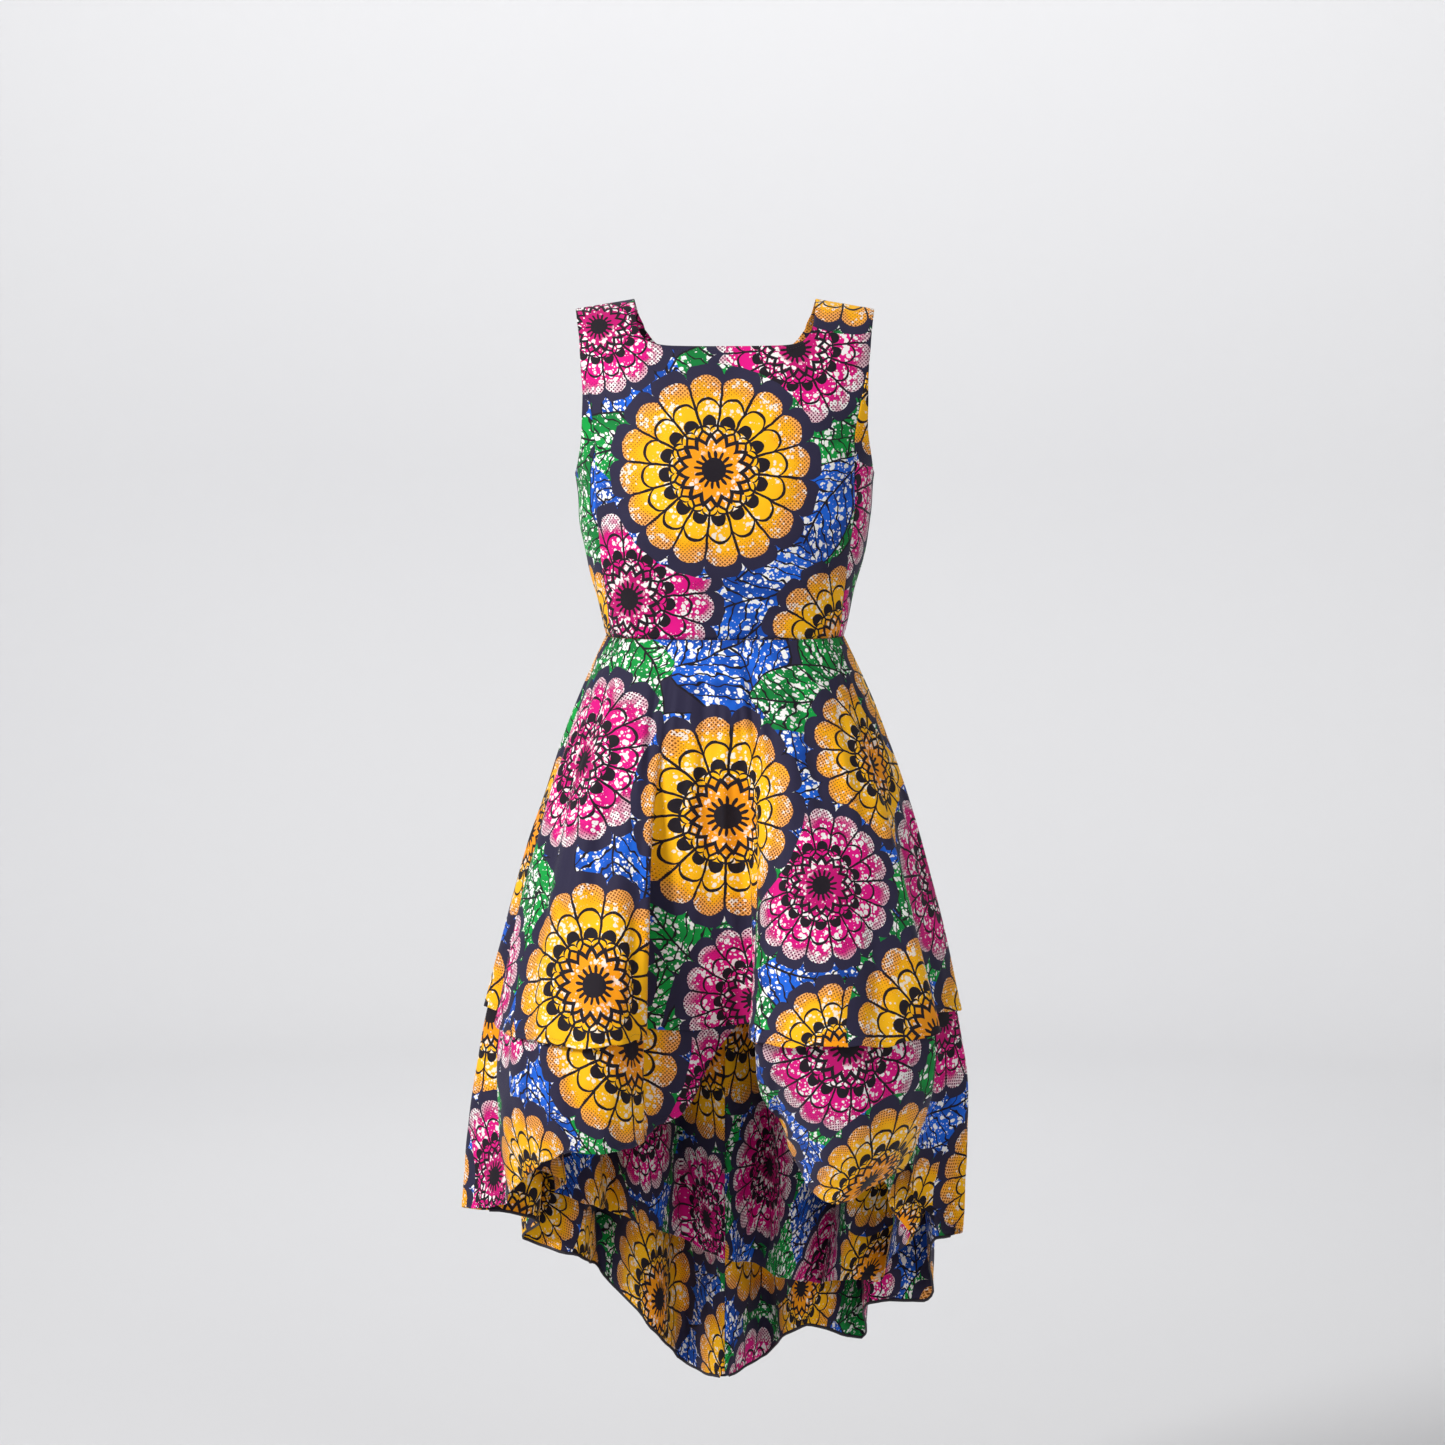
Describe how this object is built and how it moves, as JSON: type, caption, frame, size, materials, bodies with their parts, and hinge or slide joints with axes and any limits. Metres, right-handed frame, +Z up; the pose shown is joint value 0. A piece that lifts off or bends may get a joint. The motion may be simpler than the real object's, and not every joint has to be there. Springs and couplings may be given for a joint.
{
  "type": "dress",
  "caption": "Sleeveless printed cotton dress with a wide scoop neck, princess seams and a flared skirt of three layers that falls longer behind.",
  "frame": {"origin": "middle of the shoulder line, where the dress hangs from its wearer or a hanger", "axes": "+Z up, the front faces -Y, +X is the right side as seen from the front"},
  "size_m": [0.576, 0.4887, 1.275],
  "materials": {
    "printed_cotton": "matt wax-print cotton",
    "zip_tape": "woven tape",
    "zip_slider": "satin",
    "zip_pull": "enamel"
  },
  "bodies": {
    "dress": {"bodice_front": "printed_cotton", "bodice_side_left": "printed_cotton", "bodice_side_right": "printed_cotton", "bodice_back_left": "printed_cotton", "bodice_back_right": "printed_cotton", "overlay_front": "printed_cotton", "overlay_back_left": "printed_cotton", "overlay_back_right": "printed_cotton", "long_front": "printed_cotton", "long_back_left": "printed_cotton", "long_back_right": "printed_cotton", "inner_front": "printed_cotton", "inner_back_left": "printed_cotton", "inner_back_right": "printed_cotton", "zip_tape_left": "zip_tape", "zip_tape_right": "zip_tape", "zip_slider": "zip_slider"},
    "zip_pull": {"zip_pull": "zip_pull"}
  },
  "joints": [
    {"name": "zip_pull_swing", "type": "hinge", "parent": "dress", "child": "zip_pull", "pos_m": [0, 0.10769, -0.076], "axis": [1, 0, 0], "range_deg": [0, 165]}
  ]
}
